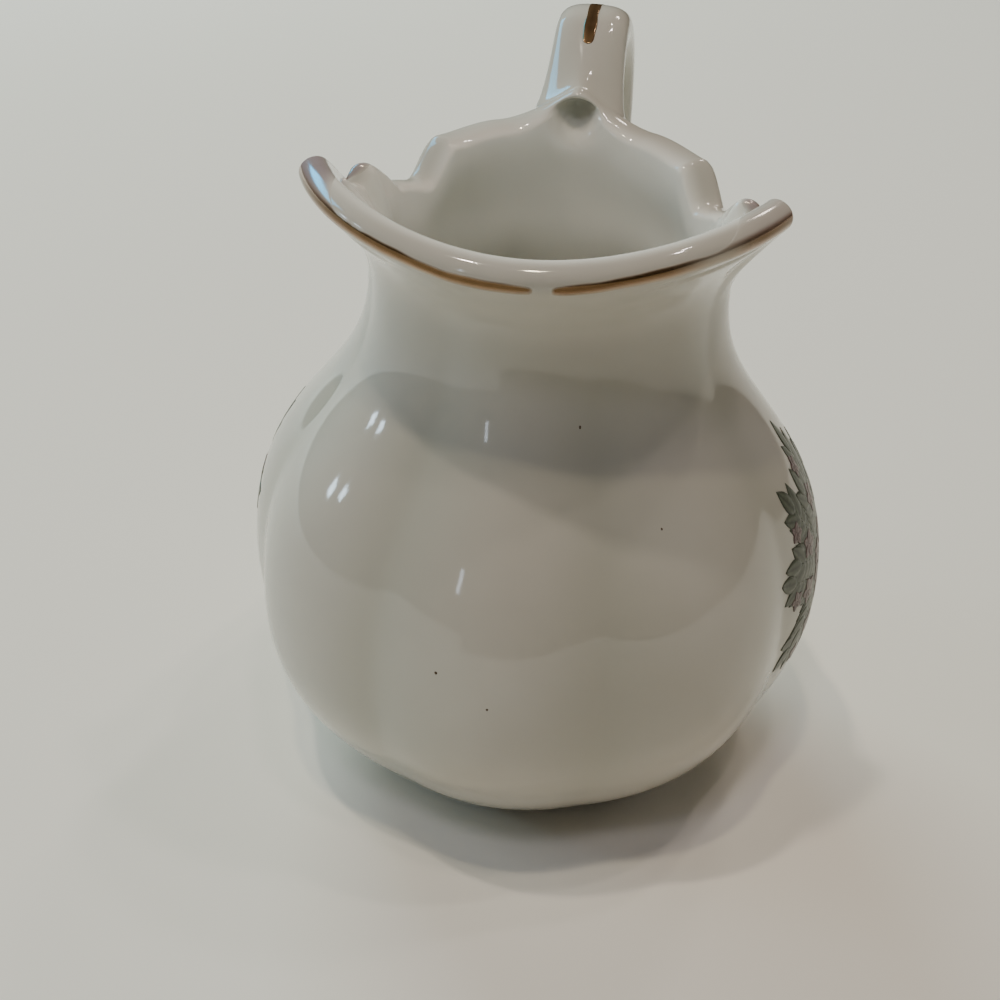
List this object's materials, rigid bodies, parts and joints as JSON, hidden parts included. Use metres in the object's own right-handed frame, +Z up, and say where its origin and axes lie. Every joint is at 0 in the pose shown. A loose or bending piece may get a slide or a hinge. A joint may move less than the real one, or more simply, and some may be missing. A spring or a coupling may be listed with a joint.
{
  "type": "syrup pitcher",
  "caption": "Small lobed porcelain syrup pitcher with a narrow neck, a wide scalloped lip, a loop handle, gilt edge lines and a printed sprig on each side.",
  "frame": {"origin": "middle of the flat base, on the table", "axes": "+Z up along the pitcher's axis, -Y towards the pouring lip, +Y towards the handle, +X to the right seen from the lip"},
  "size_m": [0.0732, 0.0866, 0.0867],
  "materials": {
    "porcelain": "smooth clear glaze over white porcelain, with a few tiny dark firing specks",
    "slip": "fired slip that joins the handle to the body",
    "gilt": "thin worn bright gold, brushed on by hand",
    "enamel": "fired transfer print in grey green and dusty mauve"
  },
  "bodies": {
    "root": {"body": "porcelain", "handle": "porcelain", "upper_luting_slip": "slip", "lower_luting_slip": "slip", "gilt_lip_left": "gilt", "gilt_lip_right": "gilt", "gilt_wing_left": "gilt", "gilt_wing_right": "gilt", "gilt_curl_left": "gilt", "gilt_curl_right": "gilt", "gilt_back_left": "gilt", "gilt_back_right": "gilt", "gilt_handle_stroke": "gilt", "print_left": "enamel", "print_right": "enamel"}
  },
  "joints": []
}
